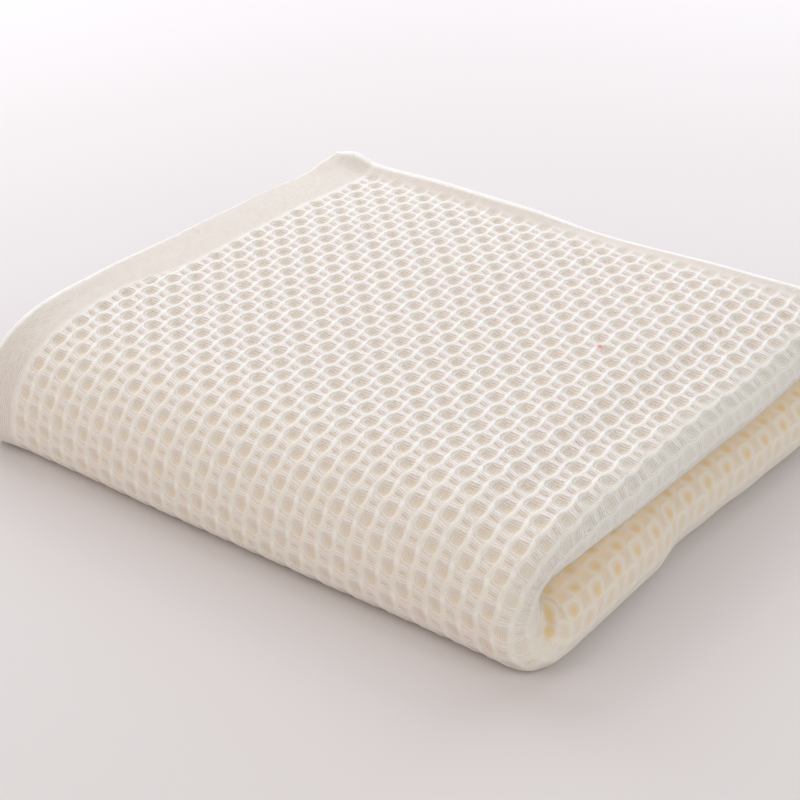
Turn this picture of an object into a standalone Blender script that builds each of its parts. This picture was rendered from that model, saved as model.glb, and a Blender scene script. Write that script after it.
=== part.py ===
"""Hand towel of thick honeycomb cotton, folded into eight layers and laid flat.

One cloth makes the whole object. It is folded in half twice along its length,
which puts both hems at the left and a thick round nose at the right, and then
once across, which makes the front fold and brings the selvedges to the back.

Units are metres, +Z is up, +X runs along the front fold to the right and +Y
runs to the back. The origin is under the middle of the towel, on the surface
that it lies on.
"""

import math
from collections import namedtuple

import bmesh
import bpy

MM = 0.001

# Driving dimensions of the folded towel
HEIGHT = 34.3 * MM
THICKNESS = 2.4 * MM
LAYERS = 8
PITCH = (HEIGHT - THICKNESS) / (LAYERS - 1)
MIDDLE = HEIGHT / 2

# Layers of the fourfold packet, counted from its middle, the outer one first
OUTER_LAYER = 1.5
SECOND_LAYER = 0.5
THIRD_LAYER = -0.5
INNER_LAYER = -1.5
LAYER_SPAN = OUTER_LAYER - INNER_LAYER

# Places along the towel's length, measured at the outer layer
HEM_X = -95.0 * MM
SECOND_HEM_X = -92.4 * MM
LEFT_NOSE_X = -90.6 * MM
UPPER_NOSE_X = 82.8 * MM
LOWER_NOSE_X = 86.8 * MM

# Places across the towel, from its back edges to the front fold
BACK_EDGE_Y = 82.0 * MM
BACK_STAGGER = 5.6 * MM
FOLD_START_Y = -44.8 * MM
INNER_FOLD_START_Y = -45.0 * MM

# The inner layers of the lower half rise to their place over this length
INNER_EASE = 30.0 * MM

# Share of the height under which the towel's unevenness dies out
FIRM_SHARE = 0.25
SAG_POWER = 1.5

# How far round the front fold the upper nose goes before it becomes the lower
NOSE_TURN_START = 0.15

# How far the front fold draws the innermost layer's nose in
NOSE_TUCK = 2.4 * MM

# Heights below this are pressed flat on the surface that the towel lies on
PRESS = 0.05 * MM

# Steps of a run to the right grow closer towards the nose by this power
CROWDING = 1.2

COTTON_COLOUR = (0.83, 0.78, 0.71, 1.0)
COTTON_ROUGHNESS = 0.9

# Front fold, from the flat top round to the flat bottom. The outer face is
# what a hand feels from outside, the inner line is the innermost layer. A run
# of None is worked out, so that the outer face just reaches the ground.
Bend = namedtuple("Bend", "name outer_run outer_turn inner_run inner_turn steps")
FRONT_FOLD = (
    Bend("crown", 9.6 * MM, 5.5, 10.6 * MM, 3.0, 2),
    Bend("shoulder", 9.6 * MM, 11.5, 7.4 * MM, 5.0, 2),
    Bend("round", 9.6 * MM, 19.0, 2.4 * MM, 34.0, 3),
    Bend("steep", 9.6 * MM, 24.5, 1.7 * MM, 35.0, 3),
    Bend("brow", 6.7 * MM, 18.5, 1.2 * MM, 25.0, 2),
    Bend("face", None, 7.0, 1.0 * MM, 20.0, 1),
    Bend("toe", 14.2 * MM, 94.0, 2.8 * MM, 60.0, 5),
)

# The cloth's length, from the outer hem to the second hem. A straight run
# goes between the left end and the right nose, a nose turns about its middle.
Section = namedtuple("Section", "name first_layer last_layer goes steps")
SIDE_FOLDS = (
    Section("outer run", OUTER_LAYER, OUTER_LAYER, "right", 9),
    Section("outer nose", OUTER_LAYER, INNER_LAYER, "round the right", 10),
    Section("inner run", INNER_LAYER, INNER_LAYER, "left", 8),
    Section("left nose", INNER_LAYER, THIRD_LAYER, "round the left", 6),
    Section("third run", THIRD_LAYER, THIRD_LAYER, "right", 8),
    Section("inner nose", THIRD_LAYER, SECOND_LAYER, "round the right", 6),
    Section("second run", SECOND_LAYER, SECOND_LAYER, "left", 9),
)

# How far the top lies below its full height, and its higher places above it
SAG_Y = (-60.0, -30.0, 8.0, 36.0, 65.0, 75.0, 83.0)
Sag = namedtuple("Sag", "x front quarter middle three_quarter near_back back edge")
TOP_SAG = (
    Sag(-95.0, -2.2, -2.1, -0.5, 0.4, 2.0, 0.8, 0.0),
    Sag(-87.0, -0.5, -1.3, -0.3, 0.4, 2.1, 2.0, -2.2),
    Sag(-77.0, 0.2, -0.8, 0.0, 0.5, 2.4, 2.9, 0.1),
    Sag(-50.0, 0.0, -0.4, 0.0, 0.1, 1.4, 2.1, -0.8),
    Sag(-20.0, 0.0, -0.2, 0.0, 0.0, 1.3, 2.0, -0.6),
    Sag(10.0, 0.0, 0.0, 0.0, 0.0, 0.9, 1.6, 1.3),
    Sag(60.0, 0.1, 0.0, 0.0, -0.5, -0.2, 0.1, -0.6),
    Sag(75.0, 1.9, 1.7, 1.7, 1.3, 0.5, 0.1, -1.0),
    Sag(95.0, 2.2, 2.2, 2.3, 3.4, 2.8, 1.2, -0.7),
)

# Small shifts of the outline: the front fold along X, the noses along Y
FrontShift = namedtuple("FrontShift", "x shift")
FRONT_SHIFTS = (
    FrontShift(-95.0, -1.6),
    FrontShift(-80.0, 0.3),
    FrontShift(-60.0, 0.2),
    FrontShift(-25.0, -0.5),
    FrontShift(20.0, -0.6),
    FrontShift(60.0, -0.2),
    FrontShift(95.0, -0.8),
)
NoseShift = namedtuple("NoseShift", "y upper lower")
NOSE_SHIFTS = (
    NoseShift(-78.0, -3.0, 0.8),
    NoseShift(-65.0, -2.0, 1.2),
    NoseShift(-48.0, -0.8, 1.4),
    NoseShift(-27.0, 0.2, 1.3),
    NoseShift(-12.0, 0.6, -0.7),
    NoseShift(5.0, 1.1, 0.2),
    NoseShift(28.0, 1.9, 1.8),
    NoseShift(48.0, 1.9, 2.8),
    NoseShift(85.0, 1.6, 2.4),
)

# Rows of the flat stretches, as shares of the way from one end to the other
TOP_STATIONS = (0.0, 0.04, 0.09, 0.16, 0.28, 0.42, 0.57, 0.72, 0.87)
BOTTOM_STATIONS = (0.05, 0.11, 0.18, 0.32, 0.48, 0.64, 0.8, 0.92, 1.0)


def clear_scene():
    """Remove what the opened file holds."""
    for item in list(bpy.data.objects):
        bpy.data.objects.remove(item, do_unlink=True)


def soft_step(value):
    """Return 0 to 1 with a level start and end."""
    value = min(1.0, max(0.0, value))
    return value * value * (3.0 - 2.0 * value)


def read_row(places, values, where):
    """Return the value at a place in a row of a table, smooth between entries."""
    if where <= places[0]:
        return values[0]
    for near, far, start, end in zip(places, places[1:], values, values[1:]):
        if where <= far:
            return start + (end - start) * soft_step((where - near) / (far - near))
    return values[-1]


def top_sag(x, y):
    """Return how far the top lies below its full height at a place."""
    rows = [read_row(SAG_Y, row[1:], y / MM) for row in TOP_SAG]
    return read_row([row.x for row in TOP_SAG], rows, x / MM) * MM


def face_run():
    """Return the length of the front fold's face that closes its height."""
    height = HEIGHT
    slope = 0.0
    face = None
    for bend in FRONT_FOLD:
        turn = math.radians(bend.outer_turn)
        drop = (math.cos(slope) - math.cos(slope + turn)) / turn
        if bend.outer_run is None:
            face = drop
        else:
            height -= bend.outer_run * drop
        slope += turn
    return height / face


def walk_fold(column, start_y, start_z, fill_in):
    """Follow one line of the front fold and return its points and slopes.

    The column is outer or inner, and fill_in is the length of a run of None.
    """
    y, z, slope = start_y, start_z, 0.0
    points = [(y, z, slope)]
    for bend in FRONT_FOLD:
        run = getattr(bend, column + "_run")
        run = fill_in if run is None else run
        turn = math.radians(getattr(bend, column + "_turn"))
        part_run, part_turn = run / bend.steps, turn / bend.steps
        chord = part_run * math.sin(part_turn / 2) / (part_turn / 2)
        for _ in range(bend.steps):
            y -= chord * math.cos(slope + part_turn / 2)
            z -= chord * math.sin(slope + part_turn / 2)
            slope += part_turn
            points.append((y, z, slope))
    return points


Row = namedtuple("Row", "outer_y outer_z inner_y inner_z around")


def cross_rows():
    """Return the rows of the folded cloth, from the top selvedge to the bottom one.

    Each row holds the outermost and the innermost layer's middle line, and how
    far round the front fold it is, from 0 on the top to 1 on the bottom.
    """
    inner_top = MIDDLE + PITCH / 2
    inner_bottom = MIDDLE - PITCH / 2
    inner_back = BACK_EDGE_Y + BACK_STAGGER
    outer_top = HEIGHT - THICKNESS / 2
    rows = []
    for share in TOP_STATIONS:
        outer_y = BACK_EDGE_Y + (FOLD_START_Y - BACK_EDGE_Y) * share
        inner_y = inner_back + (INNER_FOLD_START_Y - inner_back) * share
        rows.append(Row(outer_y, outer_top, inner_y, inner_top, 0.0))
    outer = walk_fold("outer", FOLD_START_Y, HEIGHT, face_run())
    inner = walk_fold("inner", INNER_FOLD_START_Y, inner_top, None)
    for (face_y, face_z, slope), (inner_y, inner_z, _) in zip(outer, inner):
        outer_y = face_y + math.sin(slope) * THICKNESS / 2
        outer_z = face_z - math.cos(slope) * THICKNESS / 2
        rows.append(Row(outer_y, outer_z, inner_y, inner_z, slope / math.pi))
    last = rows[-1]
    for share in BOTTOM_STATIONS:
        outer_y = last.outer_y + (BACK_EDGE_Y - last.outer_y) * share
        inner_y = last.inner_y + (inner_back - last.inner_y) * share
        rise = soft_step((inner_y - last.inner_y) / INNER_EASE)
        inner_z = last.inner_z + (inner_bottom - last.inner_z) * rise
        rows.append(Row(outer_y, THICKNESS / 2, inner_y, inner_z, 1.0))
    return rows


def straight_places(section):
    """Return the layer, the share from left to right and no reach at each step."""
    places = []
    for step in range(section.steps + 1):
        done = step / section.steps
        share = 1.0 - done
        if section.goes == "right":
            share = math.sin(math.pi / 2 * done) ** CROWDING
        places.append((section.first_layer, share, 0.0))
    return places


def nose_places(section):
    """Return the layer, the side and the reach at each step of a nose."""
    middle = (section.first_layer + section.last_layer) / 2
    radius = (section.first_layer - section.last_layer) / 2
    side = 1.0 if section.goes == "round the right" else 0.0
    outward = 1.0 if side else -1.0
    places = []
    for step in range(1, section.steps):
        angle = math.pi * step / section.steps
        reach = outward * abs(radius) * PITCH * math.sin(angle)
        places.append((middle + radius * math.cos(angle), side, reach))
    return places


def length_columns():
    """Return the columns of the folded cloth, from the outer to the second hem."""
    columns = []
    for section in SIDE_FOLDS:
        if section.goes in ("left", "right"):
            columns.extend(straight_places(section))
        else:
            columns.extend(nose_places(section))
    return columns


def left_end(layer):
    """Return where a layer's straight run ends at the left."""
    if layer == OUTER_LAYER:
        return HEM_X
    if layer == SECOND_LAYER:
        return SECOND_HEM_X
    return LEFT_NOSE_X


def right_end(row, outward, y):
    """Return the middle of the right nose at a row, for a layer at y.

    It passes from the upper to the lower nose round the front fold, which
    draws the inner layers in a little.
    """
    places = [shift.y for shift in NOSE_SHIFTS]
    upper = read_row(places, [shift.upper for shift in NOSE_SHIFTS], y / MM)
    lower = read_row(places, [shift.lower for shift in NOSE_SHIFTS], y / MM)
    upper_x = UPPER_NOSE_X + upper * MM
    lower_x = LOWER_NOSE_X + lower * MM
    lowered = soft_step((row.around - NOSE_TURN_START) / (1.0 - NOSE_TURN_START))
    tuck = NOSE_TUCK * (1.0 - outward) * math.sin(math.pi * row.around)
    return upper_x + (lower_x - upper_x) * lowered - tuck


def place(row, column):
    """Return where a point of the cloth's middle surface lies in the folded towel."""
    layer, side, reach = column
    outward = (layer - INNER_LAYER) / LAYER_SPAN
    y = row.inner_y + (row.outer_y - row.inner_y) * outward
    z = row.inner_z + (row.outer_z - row.inner_z) * outward
    left = left_end(layer)
    x = left + (right_end(row, outward, y) - left) * side + reach
    shifts = [shift.shift for shift in FRONT_SHIFTS]
    shift = read_row([shift.x for shift in FRONT_SHIFTS], shifts, x / MM) * MM
    y += shift * math.sin(math.pi * row.around) * outward
    share = z / HEIGHT
    loose = max(0.0, (share - FIRM_SHARE) / (1.0 - FIRM_SHARE)) ** SAG_POWER
    return x, y, z - top_sag(x, y) * loose


def cotton_material():
    """Return the plain off-white cotton."""
    material = bpy.data.materials.new("honeycomb_cotton")
    material.use_nodes = True
    shader = material.node_tree.nodes["Principled BSDF"]
    shader.inputs["Base Color"].default_value = COTTON_COLOUR
    shader.inputs["Roughness"].default_value = COTTON_ROUGHNESS
    shader.inputs["Metallic"].default_value = 0.0
    return material


def flat_cloth(columns, rows):
    """Return a flat grid with a vertex for each column and row of the cloth."""
    cloth = bmesh.new()
    bmesh.ops.create_grid(
        cloth, x_segments=len(columns) - 1, y_segments=len(rows) - 1, size=1.0
    )
    return cloth


def fold_cloth(cloth, columns, rows):
    """Move each vertex of the flat grid to its place in the folded towel."""
    for vertex in cloth.verts:
        column = round((vertex.co.x + 1.0) / 2.0 * (len(columns) - 1))
        row = round((1.0 - vertex.co.y) / 2.0 * (len(rows) - 1))
        vertex.co = place(rows[row], columns[column])


def press_flat(mesh):
    """Lay the lowest face exactly on the surface."""
    for vertex in mesh.vertices:
        if vertex.co.z < PRESS:
            vertex.co.z = 0.0


def centre_over_origin(mesh):
    """Move the solid sideways until the origin is under its middle."""
    for axis in (0, 1):
        places = [vertex.co[axis] for vertex in mesh.vertices]
        middle = (min(places) + max(places)) / 2
        for vertex in mesh.vertices:
            vertex.co[axis] -= middle


def build_towel(collection):
    """Make the towel as one solid: a folded surface with the cloth's thickness."""
    columns = length_columns()
    rows = cross_rows()
    cloth = flat_cloth(columns, rows)
    fold_cloth(cloth, columns, rows)
    surface = bpy.data.meshes.new("folded_surface")
    cloth.to_mesh(surface)
    cloth.free()
    towel = bpy.data.objects.new("towel", surface)
    collection.objects.link(towel)
    wall = towel.modifiers.new("Thickness", "SOLIDIFY")
    wall.thickness = THICKNESS
    wall.offset = 0.0
    wall.use_even_offset = True
    bpy.context.view_layer.update()
    evaluated = towel.evaluated_get(bpy.context.evaluated_depsgraph_get())
    solid = bpy.data.meshes.new_from_object(evaluated)
    solid.name = "towel"
    towel.modifiers.clear()
    towel.data = solid
    bpy.data.meshes.remove(surface)
    press_flat(solid)
    centre_over_origin(solid)
    solid.shade_smooth()
    solid.materials.clear()
    solid.materials.append(cotton_material())
    return towel


def main():
    """Build the folded hand towel in its own collection."""
    clear_scene()
    collection = bpy.data.collections.new("hand_towel")
    bpy.context.scene.collection.children.link(collection)
    build_towel(collection)


main()
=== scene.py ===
"""Looks of a hand towel of thick honeycomb cotton, folded into eight layers.

The cloth is one length of honeycomb weave with a plain woven hem at each end
and a narrow selvedge along each side. It is folded in half twice along its
length and then once across. Its surface is worked out here from the same folds
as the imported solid, and the weave's cords and hollows are real relief on it.

A place on the cloth is given in cells of the weave: a column counts along the
cloth's length and a row across its width. Units are metres, +Z is up.
"""

import logging
import math
from dataclasses import dataclass
from enum import Enum

import bpy
import numpy as np
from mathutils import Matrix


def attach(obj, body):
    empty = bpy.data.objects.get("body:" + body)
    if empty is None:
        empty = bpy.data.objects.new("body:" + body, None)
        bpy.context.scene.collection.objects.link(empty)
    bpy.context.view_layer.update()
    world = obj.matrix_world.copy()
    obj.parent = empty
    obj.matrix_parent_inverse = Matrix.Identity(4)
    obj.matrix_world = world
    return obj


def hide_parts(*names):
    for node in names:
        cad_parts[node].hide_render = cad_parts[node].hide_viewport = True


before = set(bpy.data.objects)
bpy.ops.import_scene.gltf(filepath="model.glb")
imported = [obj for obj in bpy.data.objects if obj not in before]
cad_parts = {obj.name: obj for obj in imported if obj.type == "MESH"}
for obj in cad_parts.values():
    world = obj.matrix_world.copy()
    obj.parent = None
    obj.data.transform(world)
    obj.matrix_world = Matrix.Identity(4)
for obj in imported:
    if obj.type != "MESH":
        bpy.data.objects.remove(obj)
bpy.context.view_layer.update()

MM = 0.001
LOG = logging.getLogger("hand_towel")
Array = np.ndarray
Numbers = tuple[float, ...]
Pair = tuple[float, float]

# Two points closer than this are one, and a shorter normal counts as none
SAME_PLACE = 1e-7
TINY = 1e-12

# A run longer than any fold, which reads the fold's end
PAST_FOLD = np.array([1e3])

# Places along a row run from 0 to 1, and this is past its end
PAST_END = 2.0

# The power that makes a rounded rectangle an ellipse
ELLIPSE = 2.0


class Side(Enum):
    """The two faces of the cloth."""

    FACE = 1.0
    BACK = -1.0


def soft_step(value: Array) -> Array:
    """Return 0 to 1 with a level start and end."""
    value = np.clip(value, 0.0, 1.0)
    return value * value * (3.0 - 2.0 * value)


def read_table(places: Array, values: Array, where: Array) -> Array:
    """Read a table at many places, smooth between its entries.

    Args:
        places: The entries' places, from low to high.
        values: One value, or one array of values, for each entry.
        where: The places to read.

    Returns:
        The value at each place.
    """
    places = np.asarray(places, float)
    values = np.asarray(values, float)
    entry = np.clip(np.searchsorted(places, where) - 1, 0, len(places) - 2)
    share = soft_step((where - places[entry]) / (places[entry + 1] - places[entry]))
    if values.ndim == 1:
        low, high = values[entry], values[entry + 1]
    else:
        low = np.take_along_axis(values, entry[None], 0)[0]
        high = np.take_along_axis(values, entry[None] + 1, 0)[0]
    return low + (high - low) * share


@dataclass(frozen=True)
class Bend:
    """One stretch of the front fold, on its outer face and its innermost line."""

    outer_run: float
    outer_turn: float
    inner_run: float
    inner_turn: float


@dataclass(frozen=True)
class Section:
    """A stretch of the cloth's length, straight or round a nose.

    Layers are counted from the middle of the fourfold packet. The side is 1 for
    a nose at the right, -1 for one at the left and 0 for a straight run.
    """

    name: str
    first_layer: float
    last_layer: float
    side: float = 0.0
    leftward: bool = False


OUTER_LAYER = 1.5
INNER_LAYER = 0.5
SECTIONS = (
    Section("outer run", OUTER_LAYER, OUTER_LAYER),
    Section("outer nose", OUTER_LAYER, -OUTER_LAYER, side=1.0),
    Section("inner run", -OUTER_LAYER, -OUTER_LAYER, leftward=True),
    Section("left nose", -OUTER_LAYER, -INNER_LAYER, side=-1.0),
    Section("third run", -INNER_LAYER, -INNER_LAYER),
    Section("inner nose", -INNER_LAYER, INNER_LAYER, side=1.0),
    Section("second run", INNER_LAYER, INNER_LAYER, leftward=True),
)


@dataclass(frozen=True)
class FoldedShape:
    """Where each place of the cloth lies in the folded towel."""

    cell: float = 4.8 * MM
    height: float = 34.3 * MM
    thickness: float = 2.4 * MM
    layers: int = 8

    # Sideways places before the towel is centred over its origin
    hem_x: float = -95.0 * MM
    second_hem_x: float = -92.4 * MM
    left_nose_x: float = -90.6 * MM
    upper_nose_x: float = 82.8 * MM
    lower_nose_x: float = 86.8 * MM
    back_edge_y: float = 82.0 * MM
    back_stagger: float = 5.6 * MM
    fold_start_y: float = -44.8 * MM
    inner_fold_start_y: float = -45.0 * MM
    centre: Pair = (1.74 * MM, 2.19 * MM)

    # Loose and firm places
    inner_ease: float = 30.0 * MM
    firm_share: float = 0.25
    sag_power: float = 1.5
    nose_turn_start: float = 0.15
    nose_tuck: float = 2.4 * MM
    settle_share: float = 0.62

    # The noses follow the front fold's turn, averaged over these shifts
    turn_blur: Numbers = (-5.0 * MM, -3.0 * MM, -1.0 * MM, 1.0 * MM, 3.0 * MM, 5.0 * MM)

    # Half the distance, in cells, over which a normal is worked out
    normal_step: float = 0.02

    # The column and the row of the weave that the sizes above start from
    column_at_zero: float = -6.4
    row_at_zero: float = 12.33

    # The cells are drawn out over the front right corner, and lifted at the front
    pull_rows: Numbers = (-13.0, -9.0, -7.0, -5.0, -3.0, -1.0, 1.0, 3.0, 5.0, 9.0, 13.0)
    pull: Numbers = (0.0, 0.15, 0.4, 0.85, 1.0, 0.9, 0.7, 0.5, 0.33, 0.1, 0.0)
    pull_columns: Numbers = (1.0, 12.5, 13.0, 16.5)
    lift_rows: Numbers = (-13.0, -9.0, -6.0, -2.0)
    lift: Numbers = (0.0, 0.2, 0.2, 0.0)

    bends: tuple[Bend, ...] = (
        Bend(9.6 * MM, 5.5, 10.6 * MM, 3.0),
        Bend(9.6 * MM, 11.5, 7.4 * MM, 5.0),
        Bend(9.6 * MM, 19.0, 2.4 * MM, 34.0),
        Bend(9.6 * MM, 24.5, 1.7 * MM, 35.0),
        Bend(6.7 * MM, 18.5, 1.2 * MM, 25.0),
        Bend(5.08 * MM, 7.0, 1.0 * MM, 20.0),
        Bend(14.2 * MM, 94.0, 2.8 * MM, 60.0),
    )
    sag_y: Numbers = (-60.0, -30.0, 8.0, 36.0, 65.0, 75.0, 83.0)
    sag_x: Numbers = (-95.0, -87.0, -77.0, -50.0, -20.0, 10.0, 60.0, 75.0, 95.0)
    sag: tuple[Numbers, ...] = (
        (-2.2, -2.1, -0.5, 0.4, 2.0, 0.8, 0.0),
        (-0.5, -1.3, -0.3, 0.4, 2.1, 2.0, -2.2),
        (0.2, -0.8, 0.0, 0.5, 2.4, 2.9, 0.1),
        (0.0, -0.4, 0.0, 0.1, 1.4, 2.1, -0.8),
        (0.0, -0.2, 0.0, 0.0, 1.3, 2.0, -0.6),
        (0.0, 0.0, 0.0, 0.0, 0.9, 1.6, 1.3),
        (0.1, 0.0, 0.0, -0.5, -0.2, 0.1, -0.6),
        (1.9, 1.7, 1.7, 1.3, 0.5, 0.1, -1.0),
        (2.2, 2.2, 2.3, 3.4, 2.8, 1.2, -0.7),
    )
    front_x: Numbers = (-95.0, -80.0, -60.0, -25.0, 20.0, 60.0, 95.0)
    front_shift: Numbers = (-1.6, 0.3, 0.2, -0.5, -0.6, -0.2, -0.8)
    nose_y: Numbers = (-78.0, -65.0, -48.0, -27.0, -12.0, 5.0, 28.0, 48.0, 85.0)
    upper_nose: Numbers = (-3.0, -2.0, -0.8, 0.2, 0.6, 1.1, 1.9, 1.9, 1.6)
    lower_nose: Numbers = (0.8, 1.2, 1.4, 1.3, -0.7, 0.2, 1.8, 2.8, 2.4)

    @property
    def pitch(self) -> float:
        """Return the distance from one layer to the next."""
        return (self.height - self.thickness) / (self.layers - 1)

    @property
    def first_row(self) -> float:
        """Return the row of the bottom selvedge's edge."""
        bottom = self.back_edge_y - self._fold_lines(PAST_FOLD)[0][0]
        return self.last_row - self._top_rows - self._fold_rows - bottom / self.cell

    @property
    def last_row(self) -> float:
        """Return the row of the top selvedge's edge."""
        return self.row_at_zero + self.back_edge_y / self.cell

    @property
    def _top_rows(self) -> float:
        """Return how many rows the flat top has."""
        return (self.back_edge_y - self.fold_start_y) / self.cell

    @property
    def _fold_rows(self) -> float:
        """Return how many rows the front fold has."""
        return sum(bend.outer_run for bend in self.bends) / self.cell

    @property
    def course(self) -> dict[str, float]:
        """Return the column at which each section of the cloth's length ends."""
        half = self.thickness / 2
        inner_run = (self.upper_nose_x - self.left_nose_x) / self.cell
        runs = (
            (self.upper_nose_x - self.hem_x) / self.cell,
            math.pi * (OUTER_LAYER * self.pitch + half) / self.cell,
            inner_run,
            math.pi * (INNER_LAYER * self.pitch + half) / self.cell,
            inner_run,
            math.pi * INNER_LAYER * self.pitch / self.cell,
            (self.upper_nose_x - self.second_hem_x) / self.cell,
        )
        total = (self.hem_x / self.cell) + self.column_at_zero
        ends = {"hem": total}
        for section, run in zip(SECTIONS, runs):
            total += run
            ends[section.name] = total
        return ends

    @staticmethod
    def _turned(line: tuple[Array, Array, Array], run: float, angle: float, share: Array) -> tuple:
        """Follow a share of one bend.

        Args:
            line: The y, z and slope at the bend's start.
            run: The bend's length.
            angle: The bend's turn in degrees.
            share: How much of the bend is followed, from 0 to 1.

        Returns:
            The y, z and slope after it.
        """
        y, z, slope = line
        turn = math.radians(angle)
        radius = run / turn
        y = y - radius * (np.sin(slope + turn * share) - np.sin(slope))
        z = z - radius * (np.cos(slope) - np.cos(slope + turn * share))
        return y, z, slope + turn * share

    def _fold_lines(self, run: Array) -> tuple[Array, Array, Array, Array, Array]:
        """Follow the front fold.

        Args:
            run: Lengths along the outer face from the fold's start.

        Returns:
            The outer line's y and z, the inner line's y and z and the share of
            the half turn, at each length.
        """
        level = np.zeros(run.shape)
        inner_start_z = (self.height + self.pitch) / 2
        outer = (level + self.fold_start_y, level + self.height, level)
        inner = (level + self.inner_fold_start_y, level + inner_start_z, level)
        done = 0.0
        for bend in self.bends:
            share = np.clip((run - done) / bend.outer_run, 0.0, 1.0)
            done += bend.outer_run
            outer = self._turned(outer, bend.outer_run, bend.outer_turn, share)
            inner = self._turned(inner, bend.inner_run, bend.inner_turn, share)
        outer_y, outer_z, outer_slope = outer
        inner_y, inner_z, _ = inner
        outer_y = outer_y + np.sin(outer_slope) * self.thickness / 2
        outer_z = outer_z - np.cos(outer_slope) * self.thickness / 2
        return outer_y, outer_z, inner_y, inner_z, outer_slope / math.pi

    def _lines(self, row: Array) -> tuple[Array, Array, Array, Array, Array]:
        """Return the outer and inner line and the share of the turn at rows."""
        below = self.last_row - row
        run = (below - self._top_rows) * self.cell
        outer_y, outer_z, inner_y, inner_z, _ = self._fold_lines(run)
        around = sum(self._fold_lines(run + shift)[4] for shift in self.turn_blur)
        around = around / len(self.turn_blur)
        inner_back = self.back_edge_y + self.back_stagger
        behind = np.clip(1.0 - below / self._top_rows, 0.0, 1.0)
        outer_y = outer_y + (self.back_edge_y - self.fold_start_y) * behind
        inner_y = inner_y + (inner_back - self.inner_fold_start_y) * behind
        under = (below - self._top_rows - self._fold_rows) * self.cell
        last_outer, _, last_inner, last_z, _ = self._fold_lines(PAST_FOLD)
        share = np.clip(under / (self.back_edge_y - last_outer[0]), 0.0, 1.0)
        outer_y = outer_y + (self.back_edge_y - last_outer[0]) * share
        inner_run = (inner_back - last_inner[0]) * share
        inner_y = inner_y + inner_run
        rest_z = (self.height - self.pitch) / 2
        inner_z = inner_z + (rest_z - last_z[0]) * soft_step(inner_run / self.inner_ease)
        return outer_y, outer_z, inner_y, inner_z, around

    def _length(self, column: Array) -> tuple[Array, Array, Array, Array]:
        """Return the layer, left end, share of the run and reach at columns."""
        ends = self.course
        stops = list(ends.values())
        section = np.searchsorted(np.array(stops[1:-1]), column)
        start = np.array(stops[:-1])[section]
        stop = np.array(stops[1:])[section]
        done = np.clip((column - start) / (stop - start), 0.0, 1.0)
        angle = math.pi * done
        first = np.array([part.first_layer for part in SECTIONS])[section]
        last = np.array([part.last_layer for part in SECTIONS])[section]
        side = np.array([part.side for part in SECTIONS])[section]
        leftward = np.array([part.leftward for part in SECTIONS])[section]
        radius = (first - last) / 2
        layer = (first + last) / 2 + radius * np.cos(angle)
        layer = np.where(side == 0.0, first, layer)
        reach = side * np.abs(radius) * self.pitch * np.sin(angle)
        share = np.where(leftward, 1.0 - done, done)
        share = np.where(side == 0.0, share, (side + 1.0) / 2)
        left = np.array(
            [self.hem_x, 0.0, *[self.left_nose_x] * 3, 0.0, self.second_hem_x]
        )[section]
        return layer, left, share, reach

    def _right_end(self, around: Array, outward: Array, y: Array) -> Array:
        """Return the middle of the right nose for places of the cloth."""
        upper = self.upper_nose_x + read_table(self.nose_y, self.upper_nose, y / MM) * MM
        lower = self.lower_nose_x + read_table(self.nose_y, self.lower_nose, y / MM) * MM
        lowered = (around - self.nose_turn_start) / (1.0 - self.nose_turn_start)
        tuck = self.nose_tuck * (1.0 - outward) * np.sin(np.pi * around)
        return upper + (lower - upper) * soft_step(lowered) - tuck

    def _drawn(self, column: Array, row: Array) -> tuple[Array, Array]:
        """Return where columns and rows would lie if the cells were all alike."""
        start, full, turn, end = self.pull_columns
        ramp = soft_step((column - start) / (full - start))
        ramp = ramp * (1.0 - soft_step((column - turn) / (end - turn)))
        pull = read_table(self.pull_rows, self.pull, row)
        return column + ramp * pull, row + read_table(self.lift_rows, self.lift, row)

    def place(self, column: Array, row: Array) -> Array:
        """Return where places of the cloth's middle surface lie.

        Args:
            column: Columns of the weave, along the cloth's length.
            row: Rows of the weave, across the cloth's width.

        Returns:
            The points, with x, y and z as the last axis.
        """
        column, row = self._drawn(*np.broadcast_arrays(column, row))
        layer, left, share, reach = self._length(column)
        outer_y, outer_z, inner_y, inner_z, around = self._lines(row)
        outward = (layer + OUTER_LAYER) / (2 * OUTER_LAYER)
        y = inner_y + (outer_y - inner_y) * outward
        z = inner_z + (outer_z - inner_z) * outward
        right = self._right_end(around, outward, y)
        moved = right - self.upper_nose_x
        settled = soft_step((share - self.settle_share) / (1.0 - self.settle_share))
        x = left + (self.upper_nose_x - left) * share + moved * settled + reach
        shift = read_table(self.front_x, self.front_shift, x / MM) * MM
        y = y + shift * np.sin(np.pi * around) * outward
        loose = (z / self.height - self.firm_share) / (1.0 - self.firm_share)
        loose = np.clip(loose, 0.0, None) ** self.sag_power
        by_x = np.stack([read_table(self.sag_y, line, y / MM) for line in self.sag])
        z = z - read_table(self.sag_x, by_x, x / MM) * MM * loose
        return np.stack([x - self.centre[0], y - self.centre[1], z], axis=-1)

    def directions(self, column: Array, row: Array) -> tuple[Array, Array]:
        """Return the outward normal and the crosswise stretch at places."""
        step = self.normal_step
        along = self.place(column + step, row) - self.place(column - step, row)
        across = self.place(column, row + step) - self.place(column, row - step)
        normal = np.cross(along, across)
        normal /= np.maximum(np.linalg.norm(normal, axis=-1, keepdims=True), TINY)
        stretch = np.linalg.norm(across, axis=-1) / (2 * step * self.cell)
        return normal, stretch


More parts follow.
